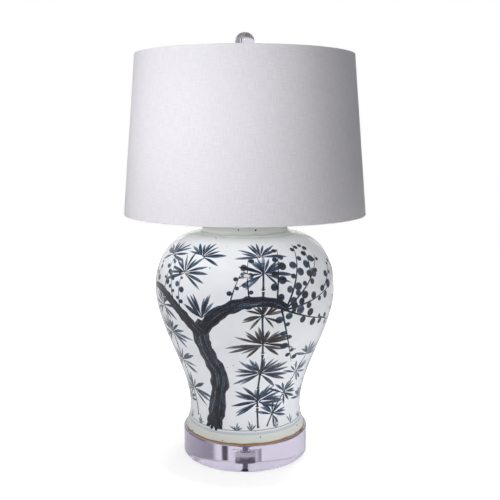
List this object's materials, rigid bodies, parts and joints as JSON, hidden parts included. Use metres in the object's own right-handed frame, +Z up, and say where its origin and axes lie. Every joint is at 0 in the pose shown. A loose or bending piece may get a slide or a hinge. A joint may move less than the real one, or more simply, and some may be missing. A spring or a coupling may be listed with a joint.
{
  "type": "ginger jar table lamp",
  "caption": "Table lamp with a painted porcelain ginger jar on a round clear block, a tapered linen drum shade on a harp, a turn-key socket and a clear ball finial.",
  "frame": {"origin": "where the lamp's axis meets the table", "axes": "+Z up along the lamp's axis, -Y to the front, where the switch key points; the cord outlet is at the back"},
  "size_m": [0.4063, 0.4064, 0.7177],
  "materials": {
    "clear_acrylic": "polished clear acrylic",
    "pad_rubber": "translucent",
    "zinc_steel": "zinc plated",
    "gasket": "matte",
    "porcelain": "clear gloss glaze over blue-black painting",
    "black_rubber": "matte",
    "brass": "satin",
    "harp_metal": "polished",
    "card": "matte",
    "phenolic": "moulded",
    "bulb_glass": "frosted white",
    "cap_metal": "bright",
    "black_glass": "opaque",
    "linen": "plain weave",
    "styrene": "smooth white",
    "white_wire": "white",
    "silver_steel": "bright"
  },
  "bodies": {
    "lamp": {"bumper_pads": "pad_rubber", "acrylic_block": "clear_acrylic", "rod_washer": "zinc_steel", "lock_washer": "zinc_steel", "rod_nut": "zinc_steel", "threaded_rod": "zinc_steel", "foot_gasket": "gasket", "porcelain_jar": "porcelain", "outlet_bushing": "black_rubber", "neck_cap": "brass", "cap_nut": "brass", "riser_tube": "brass", "harp_saddle": "harp_metal", "harp": "harp_metal", "socket_cap": "brass", "socket_shell": "brass", "socket_lining": "card", "socket_core": "phenolic", "terminal_screws": "silver_steel", "screw_shell": "brass", "centre_contact": "brass"},
    "switch": {"switch_shaft": "brass", "switch_key": "phenolic"},
    "bulb": {"bulb_tip": "cap_metal", "bulb_insulator": "black_glass", "bulb_base": "cap_metal", "bulb_glass": "bulb_glass"},
    "shade": {"shade_cover": "linen", "shade_liner": "styrene", "top_ring": "white_wire", "bottom_ring": "white_wire", "top_binding": "linen", "bottom_binding": "linen", "spider_arms": "white_wire", "spider_washer": "white_wire"},
    "stud": {"harp_stud": "harp_metal"},
    "finial": {"finial_cap": "brass", "finial_ball": "clear_acrylic"},
    "left_lock": {"left_sleeve": "harp_metal"},
    "right_lock": {"right_sleeve": "harp_metal"}
  },
  "joints": [
    {"name": "switch_turn", "type": "hinge", "parent": "lamp", "child": "switch", "pos_m": [0, -0.02, 0.4682], "axis": [0, -1, 0], "continuous": true},
    {"name": "bulb_turn", "type": "hinge", "parent": "lamp", "child": "bulb", "pos_m": [0, 0, 0.5], "axis": [0, 0, 1], "range_deg": [0, 1080]},
    {"name": "shade_turn", "type": "hinge", "parent": "lamp", "child": "shade", "pos_m": [0, 0, 0.671], "axis": [0, 0, 1], "continuous": true},
    {"name": "stud_turn", "type": "hinge", "parent": "lamp", "child": "stud", "pos_m": [0, 0, 0.67], "axis": [0, 0, 1], "range_deg": [0, 2880]},
    {"name": "finial_lift", "type": "slide", "parent": "stud", "child": "finial", "axis": [0, 0, 1], "range_m": [0, 0.0076]},
    {"name": "left_sleeve_slide", "type": "slide", "parent": "lamp", "child": "left_lock", "axis": [0, 0, 1], "range_m": [0, 0.012]},
    {"name": "right_sleeve_slide", "type": "slide", "parent": "lamp", "child": "right_lock", "axis": [0, 0, 1], "range_m": [0, 0.012]}
  ],
  "couplings": [
    {"joint": "finial_lift", "follows": "stud_turn", "m_per_rad": 0.00014972}
  ]
}
